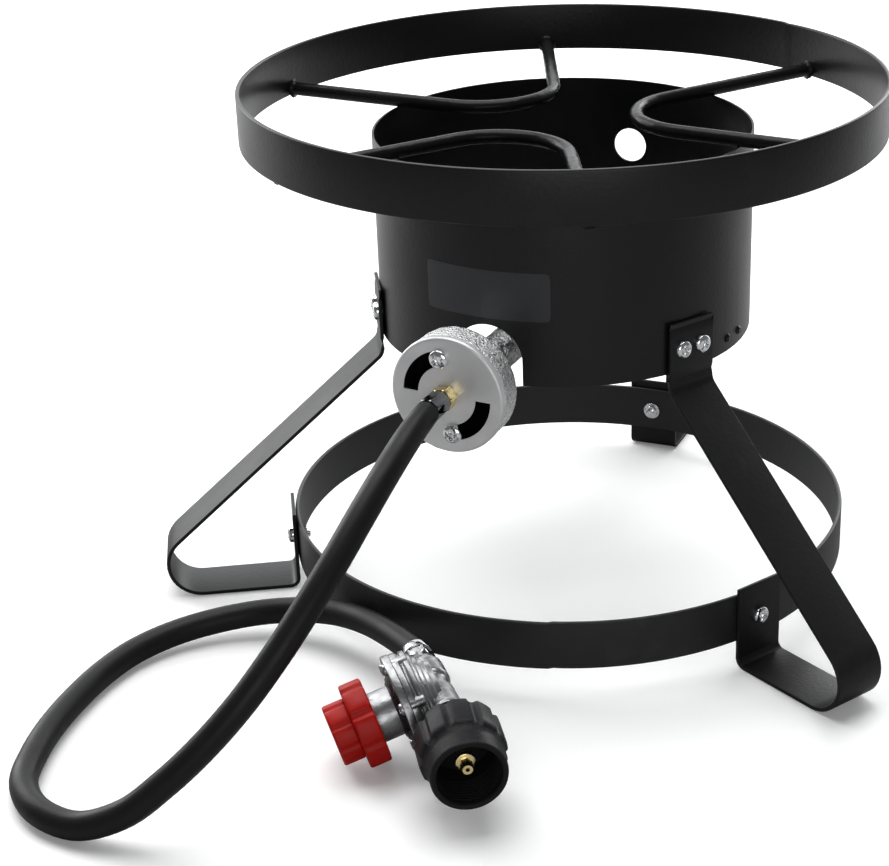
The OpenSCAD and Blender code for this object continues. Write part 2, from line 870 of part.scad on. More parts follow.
module coupling_nut() {
    color("#17181a")
        at_inlet(nut_x0)
            difference() {
                union() {
                    lobed(coupling_d - 2, 10, 6.5, 23);
                    translate([0, 0, 22.9])
                        cylinder(d1 = coupling_d - 5, d2 = coupling_d - 8, h = 4);
                    translate([0, 0, 26.8])
                        cylinder(d = coupling_d - 8, h = 11.2);
                }
                translate([0, 0, 6])
                    cylinder(d = socket_d, h = 40);
                translate([0, 0, -1])
                    cylinder(d = 16 + 2 * run_fit, h = 10);
            }
}

top_ring();
rod_a();  // pot_rod_right
rod_b();  // pot_rod_back
rod_c_node();  // pot_rod_front
rod_welds();
wind_guard();
base_ring();
leg_right();
leg_back();
leg_left();
guard_screws();
guard_nuts();
base_screws();
base_nuts();
burner_casting();
burner_cap();
cap_screw();
burner_bar();
bar_rivets();
head_bolt();
air_shutter();
shutter_screws();
orifice_fitting();
burner_ferrule();
hose();
tail_ferrule();
regulator_body();
diaphragm();
regulator_cover();
cover_screws();
spring_plate();
reg_spring();
knob_screw();
control_knob();
inlet_nipple();
nipple_seal();
coupling_nut();
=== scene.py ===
# Outdoor gas burner stand with its hose and regulator: how it looks.
import math

import bmesh
import bpy
from mathutils import Matrix, Vector, noise


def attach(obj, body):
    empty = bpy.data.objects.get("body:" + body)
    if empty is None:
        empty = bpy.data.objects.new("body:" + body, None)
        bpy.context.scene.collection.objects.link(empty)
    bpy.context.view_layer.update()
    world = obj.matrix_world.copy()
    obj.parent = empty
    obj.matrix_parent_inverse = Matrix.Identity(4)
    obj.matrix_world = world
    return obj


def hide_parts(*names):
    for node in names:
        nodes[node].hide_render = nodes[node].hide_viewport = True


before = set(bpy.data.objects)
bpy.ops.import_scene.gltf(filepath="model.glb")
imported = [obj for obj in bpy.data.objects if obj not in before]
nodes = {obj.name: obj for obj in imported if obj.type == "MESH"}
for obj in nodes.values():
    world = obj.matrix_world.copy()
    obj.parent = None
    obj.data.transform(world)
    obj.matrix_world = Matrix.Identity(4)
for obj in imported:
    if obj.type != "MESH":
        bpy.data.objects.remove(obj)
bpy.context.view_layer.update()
scene = bpy.context.scene

# ---- Camera ----------------------------------------------------------------
# A long lens from above the front, 1.3 m away and looking 24 degrees down.
yaw, pitch, roll = -0.0359, 0.4234, -0.0279
look = Vector((math.sin(yaw) * math.cos(pitch), math.cos(yaw) * math.cos(pitch), -math.sin(pitch)))
right = Vector((math.cos(yaw), -math.sin(yaw), 0))
above = right.cross(look)
cam_x = right * math.cos(roll) + above * math.sin(roll)
cam_y = above * math.cos(roll) - right * math.sin(roll)
cam = bpy.data.objects.new("camera", bpy.data.cameras.new("camera"))
scene.collection.objects.link(cam)
cam.matrix_world = Matrix((
    (cam_x.x, cam_y.x, -look.x, 0.0),
    (cam_x.y, cam_y.y, -look.y, -1.1295),
    (cam_x.z, cam_y.z, -look.z, 0.5917),
    (0, 0, 0, 1)))
cam.data.sensor_width = 36
cam.data.lens = 82.18
cam.data.shift_x = -0.0624
cam.data.clip_start, cam.data.clip_end = 0.05, 30
scene.camera = cam

# ---- Hose ------------------------------------------------------------------
# Black rubber gas hose, 15 mm across, with fine rings moulded round it. It is
# crimped at the burner, lies in one loop on the floor, and ends in the
# regulator's tail. Lengths are in millimetres, turned to metres at the end.
hose_points = [
    (-71.7, -168.91, 170.95), (-79.5, -188.5, 167), (-90, -213, 158), (-101.5, -235, 145),
    (-114, -254.5, 129), (-127.5, -270.5, 111.5), (-142.5, -284, 92.5), (-159, -294.5, 73),
    (-177.5, -301, 53.5), (-197.5, -304.5, 35), (-219, -305, 18), (-244, -301, 8.2),
    (-267, -287, 7.6), (-280, -263, 7.6), (-281, -235, 7.6), (-277.5, -207.5, 7.6),
    (-270.5, -180, 7.6), (-261, -154, 7.6), (-247.5, -131, 8), (-228, -113.5, 9.3),
    (-204.5, -103, 11.5), (-179, -99.5, 14.7), (-154, -105, 19.2), (-132, -118.5, 24.5),
    (-113.5, -137, 29), (-97.5, -158, 32), (-83.04, -180.02, 33.97)]


def shader(name, color, rough, metallic=0.0, level=0.5):
    """A new material and its node tools: (material, shader node, add, link, object coordinates)."""
    mat = bpy.data.materials.new(name)
    mat.use_nodes = True
    tree = mat.node_tree
    bsdf = tree.nodes["Principled BSDF"]
    bsdf.inputs["Base Color"].default_value = (*color, 1)
    bsdf.inputs["Roughness"].default_value = rough
    bsdf.inputs["Metallic"].default_value = metallic
    bsdf.inputs["Specular IOR Level"].default_value = level
    coords = tree.nodes.new("ShaderNodeTexCoord").outputs["Object"]

    def add(kind, **values):
        n = tree.nodes.new("ShaderNode" + kind)
        for key, v in values.items():
            if hasattr(n, key):
                setattr(n, key, v)
            else:
                n.inputs[key.replace("_", " ")].default_value = v
        return n
    return mat, bsdf, add, tree.links.new, coords


def mottle(add, link, coords, scale, low, high, detail=4.0, start=0.3, end=0.7):
    """Noise over the object, mapped from low to high. Returns a value socket."""
    n = add("TexNoise", Scale=scale, Detail=detail)
    link(coords, n.inputs["Vector"])
    r = add("MapRange")
    for key, v in (("From Min", start), ("From Max", end), ("To Min", low), ("To Max", high)):
        r.inputs[key].default_value = v
    link(n.outputs["Fac"], r.inputs["Value"])
    return r.outputs["Result"]


def bump(add, link, bsdf, height, strength, distance):
    """Relief on the surface, laid over any relief that is there already."""
    b = add("Bump", Strength=strength, Distance=distance)
    link(height, b.inputs["Height"])
    if bsdf.inputs["Normal"].is_linked:
        link(bsdf.inputs["Normal"].links[0].from_socket, b.inputs["Normal"])
    link(b.outputs["Normal"], bsdf.inputs["Normal"])


def tint(add, link, bsdf, fac, dark, light):
    """Base colour that runs from dark to light as fac runs from 0 to 1."""
    mix = add("Mix", data_type="RGBA")
    for i in mix.inputs:
        if i.name == "A" and i.type == "RGBA":
            i.default_value = (*dark, 1)
        if i.name == "B" and i.type == "RGBA":
            i.default_value = (*light, 1)
    link(fac, mix.inputs["Factor"])
    link([o for o in mix.outputs if o.type == "RGBA"][0], bsdf.inputs["Base Color"])


def dress(mat, *names):
    """Puts a material on CAD nodes that are shown as they are."""
    for name in names:
        nodes[name].data.materials.clear()
        nodes[name].data.materials.append(mat)


def circle(r, z, place, steps):
    """Ring of points round a place's Z axis."""
    turns = [math.tau * k / steps for k in range(steps)]
    return [place @ Vector((r * math.cos(t), r * math.sin(t), z)) for t in turns]


def piece(name, bm, mat, body, slot, *replaced, sharp=35):
    """Makes the object from a bmesh in millimetres, and gives it its body. The slot is not used."""
    bmesh.ops.remove_doubles(bm, verts=bm.verts, dist=0.002)
    bmesh.ops.recalc_face_normals(bm, faces=bm.faces)
    bmesh.ops.scale(bm, vec=(0.001, 0.001, 0.001), verts=bm.verts)
    data = bpy.data.meshes.new(name)
    bm.to_mesh(data)
    bm.free()
    data.shade_smooth()
    data.set_sharp_from_angle(angle=math.radians(sharp))
    data.materials.append(mat)
    obj = bpy.data.objects.new(name, data)
    scene.collection.objects.link(obj)
    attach(obj, body)
    if replaced:
        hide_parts(*replaced)
    return obj


def loft(bm, rings, closed=False, caps=True):
    """Skin over rings of points. A ring has the same number of points as the last."""
    made = [[bm.verts.new(p) for p in ring] for ring in rings]
    n = len(made[0])
    last = len(made) if closed else len(made) - 1
    for i in range(last):
        a, b = made[i], made[(i + 1) % len(made)]
        for j in range(n):
            bm.faces.new((a[j], a[(j + 1) % n], b[(j + 1) % n], b[j]))
    if caps and not closed:
        bm.faces.new(made[0])
        bm.faces.new(made[-1])
    return made


def curve_points(points, steps):
    """Smooth line through points, as a list of (place, direction)."""
    p = [Vector(q) for q in points]
    p = [p[0] * 2 - p[1]] + p + [p[-1] * 2 - p[-2]]
    out = []
    for i in range(1, len(p) - 2):
        for s in range(steps + (i == len(p) - 3)):
            t = s / steps
            a = (p[i + 1] - p[i - 1]) / 2
            b = (p[i + 2] - p[i]) / 2
            d = p[i + 1] - p[i]
            q = p[i] + a * t + (3 * d - 2 * a - b) * t * t + (a + b - 2 * d) * t ** 3
            v = a + 2 * (3 * d - 2 * a - b) * t + 3 * (a + b - 2 * d) * t * t
            out.append((q, v.normalized()))
    return out


rubber, bsdf, add, link, coords = shader("black hose rubber", (0.01, 0.01, 0.0105), 0.4, level=0.18)
link(mottle(add, link, coords, 60, 0.34, 0.48), bsdf.inputs["Roughness"])
bump(add, link, bsdf, mottle(add, link, coords, 900, 0, 1), 0.25, 0.0002)
bm = bmesh.new()
line = curve_points(hose_points, 12)
rings = []
for i, (q, d) in enumerate(line):
    a = d.cross(Vector((0, 0, 1))).normalized()
    b = a.cross(d)
    r = 7.4 - 0.9 * math.exp(-i / 9) + 0.06 * (i % 2)
    rings.append([q + r * (math.cos(t) * a + math.sin(t) * b)
                  for t in (math.tau * k / 40 for k in range(40))])
loft(bm, rings)
hose = piece("gas_hose", bm, rubber, "stand", "hose_rubber", "hose", sharp=50)

# ---- Stage -----------------------------------------------------------------
# White floor and backdrop. Soft lights stand left, right, in front and above.
# The floor glows for the camera only: a little near the stand, which lightens its shadows, and more far off, so
# that its far part meets the white.
world = bpy.data.worlds.new("world")
scene.world = world
world.use_nodes = True
wt = world.node_tree
ray = wt.nodes.new("ShaderNodeLightPath")
seen, lit = wt.nodes["Background"], wt.nodes.new("ShaderNodeBackground")
way = wt.nodes.new("ShaderNodeTexCoord")
split = wt.nodes.new("ShaderNodeSeparateXYZ")
wt.links.new(way.outputs["Generated"], split.inputs[0])
fade = wt.nodes.new("ShaderNodeMapRange")
fade.interpolation_type = "SMOOTHSTEP"
for key, v in (("From Min", 0.2), ("From Max", 0.95), ("To Min", 0.14), ("To Max", 1.9)):
    fade.inputs[key].default_value = v
wt.links.new(split.outputs["Y"], fade.inputs["Value"])
wt.links.new(fade.outputs["Result"], lit.inputs["Strength"])
seen.inputs["Color"].default_value = (1, 1, 1, 1)
seen.inputs["Strength"].default_value = 1.2
lit.inputs["Color"].default_value = (0.97, 0.985, 1, 1)
mix = wt.nodes.new("ShaderNodeMixShader")
wt.links.new(ray.outputs["Is Camera Ray"], mix.inputs[0])
wt.links.new(lit.outputs[0], mix.inputs[1])
wt.links.new(seen.outputs[0], mix.inputs[2])
wt.links.new(mix.outputs[0], wt.nodes["World Output"].inputs["Surface"])


def softbox(name, at, to, width, height, power):
    """Rectangular soft light that faces the point to."""
    d = bpy.data.lights.new(name, "AREA")
    d.shape, d.size, d.size_y, d.energy = "RECTANGLE", width, height, power
    o = bpy.data.objects.new(name, d)
    scene.collection.objects.link(o)
    o.location = at
    o.rotation_euler = (Vector(to) - Vector(at)).to_track_quat("-Z", "Y").to_euler()


softbox("left", (-1.3, 0.9, 0.9), (0, 0, 0.15), 0.9, 1.4, 16)
softbox("right", (0.9, 1.6, 0.8), (0, 0, 0.15), 0.8, 1.3, 10)
softbox("front", (0.2, -2.0, 0.6), (0, 0, 0.1), 1.4, 0.9, 8)
softbox("top", (-0.1, 0.3, 2.0), (0, 0, 0), 1.8, 1.4, 34)

floor_mat, bsdf, add, link, coords = shader("floor", (0.93, 0.93, 0.93), 0.9, level=0.05)
# For all other rays the floor is coloured darker, less so towards the back: painted shade in front and painted
# light behind, which the black parts show in their reflections
direct = add("LightPath")
shade = add("MapRange")
shade.inputs["To Max"].default_value = 0.98
link(direct.outputs["Is Camera Ray"], shade.inputs["Value"])
place = add("SeparateXYZ")
link(coords, place.inputs[0])
back = add("MapRange")
for key, v in (("From Min", 0.1), ("From Max", 1.1), ("To Min", 0.38), ("To Max", 0.98)):
    back.inputs[key].default_value = v
link(place.outputs["Y"], back.inputs["Value"])
link(back.outputs["Result"], shade.inputs["To Min"])
grey = add("CombineColor")
for c in ("Red", "Green", "Blue"):
    link(shade.outputs["Result"], grey.inputs[c])
link(grey.outputs["Color"], bsdf.inputs["Base Color"])
bsdf.inputs["Emission Color"].default_value = (1, 1, 1, 1)
reach = add("VectorMath")
reach.operation = "LENGTH"
link(coords, reach.inputs[0])
far = add("MapRange")
for key, v in (("From Min", 0.8), ("From Max", 1.8), ("To Min", 0.12), ("To Max", 1.0)):
    far.inputs[key].default_value = v
link(reach.outputs["Value"], far.inputs["Value"])
glow = add("Math")
glow.operation = "MULTIPLY"
link(far.outputs["Result"], glow.inputs[1])
link(direct.outputs["Is Camera Ray"], glow.inputs[0])
link(glow.outputs[0], bsdf.inputs["Emission Strength"])
bm = bmesh.new()
bmesh.ops.create_grid(bm, x_segments=1, y_segments=1, size=8)
data = bpy.data.meshes.new("floor")
bm.to_mesh(data)
bm.free()
data.materials.append(floor_mat)
floor = bpy.data.objects.new("floor", data)
floor.location.z = -0.0003
scene.collection.objects.link(floor)

# ---- Steelwork: two rings, wind guard and three legs -------------------------
# Rolled and bent mild steel with a satin black powder coat. The rings' ends
# are butt welded. The legs are strap, screwed to the guard and the lower ring.
def coat(name, shade, rough, level):
    """Satin powder coat with fine orange peel and paler worn spots."""
    mat, bsdf, add, link, coords = shader(name, (shade, shade, shade * 1.07), rough, level=level)
    link(mottle(add, link, coords, 9, rough - 0.05, rough + 0.06), bsdf.inputs["Roughness"])
    worn = mottle(add, link, coords, 34, 0, 1, detail=8, start=0.62, end=0.8)
    tint(add, link, bsdf, worn, (shade, shade, shade * 1.07), (shade * 1.7, shade * 1.7, shade * 1.75))
    bump(add, link, bsdf, mottle(add, link, coords, 420, 0, 1, detail=2), 0.16, 0.0003)
    bump(add, link, bsdf, mottle(add, link, coords, 12, 0, 1, detail=2), 0.05, 0.004)
    return mat


# The one black coat in four shades, each matched to how its part is lit: the lower ring's much lighter shade is
# painted light, for the bright floor that lights its front
ring_coat = coat("ring powder coat", 0.007, 0.36, 0.3)
guard_coat = coat("guard powder coat", 0.0045, 0.38, 0.34)
lit_lower_ring_coat = coat("lower ring powder coat", 0.017, 0.42, 0.36)
leg_coat = coat("leg powder coat", 0.009, 0.4, 0.26)


def rounded(outline, radius, steps=3):
    """Closed outline with its corners rounded."""
    out = []
    n = len(outline)
    for i in range(n):
        p = Vector(outline[i])
        a = Vector(outline[i - 1]) - p
        b = Vector(outline[(i + 1) % n]) - p
        r = min(radius, a.length * 0.45, b.length * 0.45)
        s, e = p + a.normalized() * r, p + b.normalized() * r
        for k in range(steps + 1):
            t = k / steps
            out.append(s * (1 - t) ** 2 + p * 2 * t * (1 - t) + e * t * t)
    return out


def lathe(bm, outline, place=Matrix(), steps=96, wave=None):
    """Turns a closed outline of (radius, height) about Z, then puts it in place."""
    rings = []
    for k in range(steps):
        a = math.tau * k / steps
        ring = []
        for r, z in outline:
            if wave:
                r, z = wave(a, r, z)
            ring.append(place @ Vector((r * math.cos(a), r * math.sin(a), z)))
        rings.append(ring)
    loft(bm, rings, closed=True)


def band(name, outer, thick, low, high, mat, seam_az, *replaced):
    """Flat bar rolled into a ring, with a small step where its ends are welded."""
    bm = bmesh.new()
    outline = rounded([(outer - thick, low), (outer, low), (outer, high), (outer - thick, high)], 1.1)

    def wave(a, r, z):
        d = (math.degrees(a) - seam_az + 180) % 360 - 180
        step = 0.35 * math.exp(-abs(d) / 5) * (1 if d > 0 else -1) if abs(d) < 25 else 0
        groove = 0.25 * math.exp(-(d / 0.5) ** 2)
        return r - groove - max(0, step) * 0.5, min(max(z + step, low), high)
    lathe(bm, outline, steps=360, wave=wave)
    return piece(name, bm, mat, "stand", "black_coat", *replaced)


band("upper_ring", 184, 2.5, 275, 304, ring_coat, 40, "top_ring")
band("lower_ring", 167.5, 2.5, 15, 44, lit_lower_ring_coat, -93.5, "base_ring")

# Strap legs: the line down the middle of the strap, seen from the side, each
# point with the direction that the strap's face looks in. Known fault: along
# the top plate that direction is turned round, which pinches the strap there.
leg_line = []
slope = 41.15
sin_s, cos_s = math.sin(math.radians(slope)), math.cos(math.radians(slope))
plate_x, plate_top, plate_low = 110.15, 188.4, 152.45
knee_r, foot_r, heel_r = 8, 20, 5
foot_x, foot_z = 225.9, 21.1
heel_x, heel_z = 173.65, 6.1
tab_x, tab_top = 168.65, 49
sole_z = 1.1


def bend(cx, cz, r, start, end, steps, face=1):
    """Arc of the strap. Its face looks away from the centre, or toward it if face is -1."""
    for k in range(steps + 1):
        a = math.radians(start + (end - start) * k / steps)
        leg_line.append((cx + r * math.cos(a), cz + r * math.sin(a), face * math.cos(a), face * math.sin(a)))


def straight(x0, z0, x1, z1, steps, face):
    """Straight run without its two ends, which belong to the bends beside it."""
    for k in range(1, steps):
        t = k / steps
        leg_line.append((x0 + (x1 - x0) * t, z0 + (z1 - z0) * t, *face))


knee_x = plate_x + knee_r
leg_line.append((plate_x, plate_top, 1, 0))
straight(plate_x, plate_top, plate_x, plate_low, 6, (-1, 0))
bend(knee_x, plate_low, knee_r, 180, 270 - slope, 8, face=-1)
straight(knee_x - knee_r * sin_s, plate_low - knee_r * cos_s,
         foot_x + foot_r * sin_s, foot_z + foot_r * cos_s, 14, (sin_s, cos_s))
bend(foot_x, foot_z, foot_r, 90 - slope, -90, 16)
straight(foot_x, sole_z, heel_x, sole_z, 6, (0, -1))
bend(heel_x, heel_z, heel_r, 270, 180, 6)
straight(tab_x, heel_z, tab_x, tab_top, 6, (-1, 0))
leg_line.append((tab_x, tab_top, -1, 0))

edge = rounded([(-16, -1.1), (16, -1.1), (16, 1.1), (-16, 1.1)], 0.5)
leg_turns = {"right": -51, "back": 69, "left": 189}
last = len(leg_line) - 1
for side, az in leg_turns.items():
    turn = Matrix.Rotation(math.radians(az), 4, "Z")
    bm = bmesh.new()
    rings = []
    for i, (x, z, nx, nz) in enumerate(leg_line):
        # Each cut end has one smaller ring more, for its worn edge
        full = [(1, 1, -0.4 if i in (0, last) else 0)]
        worn = [(0.975, 0.6, 0)]
        here = worn + full if i == 0 else full + worn if i == last else full
        for across, through, drop in here:
            rings.append([turn @ Vector((x + t * through * nx, w * across, z + t * through * nz + drop))
                          for w, t in edge])
    loft(bm, rings)
    piece(side + "_leg", bm, leg_coat, "stand", "leg_coat", "leg_" + side)

# The guard: 1.2 mm sheet rolled into a tube, cut in an arch for the burner's neck,
# with a round hole at the back to light the gas through
dress(guard_coat, "wind_guard")

# ---- Pot rods ----------------------------------------------------------------
# Three 8 mm rods, each bent to a V with a round tip, welded inside the upper
# ring and lying on the guard's top edge. Thick glossy coat, beads at the welds.
rod_coat, bsdf, add, link, coords = shader("rod powder coat", (0.009, 0.009, 0.0095), 0.14, level=0.13)
link(mottle(add, link, coords, 40, 0.18, 0.32), bsdf.inputs["Roughness"])
bump(add, link, bsdf, mottle(add, link, coords, 90, 0, 1, detail=3), 0.22, 0.0012)
half = math.radians(31)
tip_r, rod_r, rod_z = 42, 3.98, 278.5
centre = 3 + tip_r / math.sin(half)
reach = 181.0
rod_turns = {"right": 3.5, "back": 123.5, "front": 243.5}
for side, az in rod_turns.items():
    turn = Matrix.Rotation(math.radians(az), 4, "Z")
    x0, y0 = centre - tip_r * math.sin(half), tip_r * math.cos(half)
    b = x0 * math.cos(half) + y0 * math.sin(half)
    run = -b + math.sqrt(b * b - (x0 * x0 + y0 * y0 - reach * reach))
    arms = [[(x0 + run * k / 24 * math.cos(half), sgn * (y0 + run * k / 24 * math.sin(half)),
              math.cos(half), sgn * math.sin(half)) for k in range(25)] for sgn in (1, -1)]
    curve = [(x, y, -dx, -dy) for x, y, dx, dy in reversed(arms[0])]
    for k in range(1, 24):
        a = math.pi / 2 + half + (math.pi - 2 * half) * k / 24
        curve.append((centre + tip_r * math.cos(a), tip_r * math.sin(a), -math.sin(a), math.cos(a)))
    curve += arms[1]
    bm = bmesh.new()
    rings = []
    for x, y, dx, dy in curve:
        round_rod = [(rod_r * math.cos(q), rod_r * math.sin(q)) for q in (math.tau * j / 28 for j in range(28))]
        rings.append([turn @ Vector((x - dy * u, y + dx * u, rod_z + v)) for u, v in round_rod])
    loft(bm, rings)
    piece(side + "_rod", bm, rod_coat, "stand", "black_coat", "pot_rod_" + side, sharp=50)

# A weld bead round each rod's end, which follows the upper ring's wall
bm = bmesh.new()
for az in rod_turns.values():
    for sgn in (1, -1):
        run = -3 * math.cos(half) + math.sqrt((3 * math.cos(half)) ** 2 + reach ** 2 - 9)
        a = math.radians(az)
        d = Vector((math.cos(a + sgn * half), math.sin(a + sgn * half), 0))
        at = Vector((3 * math.cos(a), 3 * math.sin(a), rod_z)) + d * (run - 0.9)
        place = Matrix.Translation(at) @ d.to_track_quat("Z", "Y").to_matrix().to_4x4()
        rings = []
        for k in range(8):
            t = k / 7
            ring = []
            for j in range(36):
                q = math.tau * j / 36
                lump = 0.5 * noise.noise(Vector((3 * math.cos(q), 3 * math.sin(q), az + sgn)))
                r = 4.02 + (1.7 + lump) * t ** 2.6
                p = place @ Vector((r * math.cos(q), r * math.sin(q), 0))
                ahead = p.x * d.x + p.y * d.y
                wall = max(0, ahead ** 2 + (reach + 0.35) ** 2 - p.x ** 2 - p.y ** 2)
                slide = -ahead + math.sqrt(wall)
                ring.append(p + d * (slide - 3.2 * (1 - t)))
            rings.append(ring)
        loft(bm, rings)
piece("weld_beads", bm, rod_coat, "stand", "black_coat", "rod_welds", sharp=60)

# ---- Screws, nuts and rivets -------------------------------------------------
# Pan head screws with a cross recess, in bright zinc plated steel. They go
# through the legs into the guard and the lower ring, with nuts behind them.
plated, bsdf, add, link, coords = shader("bright zinc plating", (0.86, 0.87, 0.88), 0.12, metallic=1.0)
link(mottle(add, link, coords, 300, 0.05, 0.12), bsdf.inputs["Roughness"])
bump(add, link, bsdf, mottle(add, link, coords, 700, 0, 1), 0.08, 0.0002)


def pan_head(bm, place, d, h, turn, arm=0.32, wide=0.07):
    """Domed head with a cross recess, its underside at the place's z = 0."""
    place = place @ Matrix.Rotation(turn, 4, "Z")
    steps, rows = 64, 22
    grid = [circle(d / 2, 0, place, steps)]
    for i in range(rows):
        u = 1 - i / rows
        row = []
        for k in range(steps):
            q = math.tau * k / steps
            r = d / 2 * (0.985 * u ** 0.92)
            z = h * (0.38 + 0.62 * math.sqrt(max(0, 1 - (u * 0.97) ** 2.4)))
            x, y = r * math.cos(q), r * math.sin(q)
            near = min(max(abs(x) / d - wide, 0) if abs(y) < d * arm else 9,
                       max(abs(y) / d - wide, 0) if abs(x) < d * arm else 9)
            long = max(abs(x), abs(y)) / (d * arm)
            dip = max(0, 1 - near / 0.03) * max(0, min(1, (1 - long) * 5))
            row.append(place @ Vector((x, y, z - h * 0.72 * dip)))
        grid.append(row)
    made = loft(bm, grid, caps=False)
    bm.faces.new(made[0])
    bm.faces.new(made[-1])


def around(az, r, z, y=0.0):
    """Place on a vertical cylinder, with Z outward."""
    return (Matrix.Rotation(math.radians(az), 4, "Z") @ Matrix.Translation((r, y, z))
            @ Matrix.Rotation(math.radians(90), 4, "Y"))


def shank(bm, place, d, low, high, sides=24):
    """Plain round shank with a chamfered end."""
    loft(bm, [circle(d / 2 * f, z, place, sides) for z, f in ((low, 0.7), (low + d * 0.12, 1), (high, 1))])


def flat_sided(af, sides, corner, z, place, steps):
    """Ring of points with flats af apart, its corners cut back to the radius corner."""
    out = []
    for k in range(steps):
        q = math.tau * k / steps
        flat = af / 2 / math.cos((q + math.pi / sides) % (math.tau / sides) - math.pi / sides)
        r = min(flat, corner)
        out.append(place @ Vector((r * math.cos(q), r * math.sin(q), z)))
    return out


guard_z, ring_z = 172.45, 28.5
bm = bmesh.new()
for n, az in enumerate(leg_turns.values()):
    for sgn in (-1, 1):
        place = around(az, 111.3, guard_z, sgn * 7)
        pan_head(bm, place, 10.3, 3.3, 0.6 + 1.1 * n + 1.9 * sgn)
        shank(bm, place, 4.9, -9.6, 0.1)
piece("leg_screws", bm, plated, "stand", "bright_zinc", "guard_screws")
bm = bmesh.new()
for n, az in enumerate(leg_turns.values()):
    place = around(az, 169.85, ring_z)
    pan_head(bm, place, 10.3, 3.3, 0.9 + 0.8 * n)
    shank(bm, place, 4.9, -10.5, 0.1)
piece("ring_screws", bm, plated, "stand", "bright_zinc", "base_screws")


def hex_nut(bm, place):
    """Nut, 8 mm across its flats, with chamfered corners, from the place's z = 0 up."""
    af, hole, h = 8, 5, 3.4
    rings = [circle(hole / 2, 0, place, 48)]
    for z, corner in ((0, af / 2 * 1.02), (h * 0.12, af), (h * 0.88, af), (h, af / 2 * 1.02)):
        rings.append(flat_sided(af, 6, corner, z, place, 48))
    loft(bm, rings + [circle(hole / 2, h, place, 48)], closed=True)


bm = bmesh.new()
for n, az in enumerate(leg_turns.values()):
    place = around(az, 161.4, ring_z)
    hex_nut(bm, place @ Matrix.Rotation(0.4 + n, 4, "Z"))
    # The nut's flange lies against the lower ring's inner wall
    lathe(bm, rounded([(2.5, 2.4), (5.6, 2.5), (5.6, 3.42), (2.5, 3.42)], 0.25), place, steps=48)
piece("ring_nuts", bm, plated, "stand", "bright_zinc", "base_nuts")
bm = bmesh.new()
for n, az in enumerate(leg_turns.values()):
    for sgn in (-1, 1):
        hex_nut(bm, around(az, 103.6, guard_z, sgn * 7) @ Matrix.Rotation(0.7 * sgn + n, 4, "Z"))
piece("guard_hex_nuts", bm, plated, "stand", "bright_zinc", "guard_nuts")

# ---- Label -------------------------------------------------------------------
# Thin vinyl sticker stuck to the guard above the burner neck. It is one plain
# dark colour, left blank, and follows the guard's curve.
vinyl, bsdf, add, link, coords = shader("label vinyl", (0.02, 0.021, 0.024), 0.3, level=0.5)
bump(add, link, bsdf, mottle(add, link, coords, 55, 0, 1, detail=2), 0.1, 0.001)
bm = bmesh.new()
grid = []
for i in range(25):
    u = i / 24
    row = []
    for j in range(9):
        v = j / 8
        inset = 0.6 if i in (0, 24) and j in (0, 8) else 0
        a = math.radians(-133.4 + 39.4 * u + (inset if i == 0 else -inset) * 0.5)
        z = 196.2 + 27.6 * v + (inset if j == 0 else -inset)
        row.append(bm.verts.new((109.12 * math.cos(a), 109.12 * math.sin(a), z)))
    grid.append(row)
faces = [bm.faces.new((grid[i][j], grid[i + 1][j], grid[i + 1][j + 1], grid[i][j + 1]))
         for i in range(24) for j in range(8)]
bmesh.ops.solidify(bm, geom=faces, thickness=0.1)
piece("blank_label", bm, vinyl, "stand", "guard_coat")

# ---- Burner ------------------------------------------------------------------
# Sand-cast burner with silver paint: a gas head inside the guard, a neck, and a
# bell that the stamped air shutter covers. A brass jet fitting holds the hose.
burner = (Matrix.Translation((0, 0, 170.95)) @ Matrix.Rotation(math.radians(-113), 4, "Z")
          @ Matrix.Rotation(math.radians(90), 4, "Y"))
casting, bsdf, add, link, coords = shader("rough silver casting", (0.6, 0.61, 0.62), 0.3, metallic=1.0)
link(mottle(add, link, coords, 500, 0.18, 0.42), bsdf.inputs["Roughness"])
tint(add, link, bsdf, mottle(add, link, coords, 900, 0, 1, detail=6), (0.66, 0.665, 0.67), (0.97, 0.975, 0.98))
bump(add, link, bsdf, mottle(add, link, coords, 760, 0, 1, detail=5), 0.8, 0.001)


def grain(p, size, depth):
    """Height of the sand-cast surface at a point, for lumps of about that size."""
    return depth * noise.noise(p / size)


def split_up(outline, longest):
    """The closed outline with its long sides split into parts."""
    out = []
    for i, p in enumerate(outline):
        q = outline[(i + 1) % len(outline)]
        parts = max(1, int((q - p).length / longest))
        out += [p.lerp(q, k / parts) for k in range(parts)]
    return out


def rough(a, r, z):
    """Grainy skin on the bell's outside. The bore and the mouth stay smooth."""
    p = Vector((r * math.cos(a), r * math.sin(a), z))
    if r < 10 or z > 156 or 25 < r < 30:
        return r, z
    return r + grain(p, 1.5, 0.16) + grain(p, 4, 0.2) - 0.2, z


bm = bmesh.new()
bell = rounded([(10.6, 126.6), (32.3, 141.6), (32.3, 155.8), (30.4, 156.2), (30.4, 159.4),
                (26.6, 159.4), (26.6, 144.4), (7.2, 129.6)], 1.0)
lathe(bm, split_up(bell, 1.2), burner, steps=220, wave=rough)
head = rounded([(8, 163), (50, 163), (50, 190.9), (45, 190.9), (45, 167), (8, 167)], 1.5)
lathe(bm, split_up(head, 4), steps=160)
lathe(bm, [(3.1, 162.9), (9, 162.9), (9, 190.9), (3.1, 190.9)], steps=48)
piece("burner_bell", bm, casting, "stand", "rough_casting", "burner_casting", sharp=60)

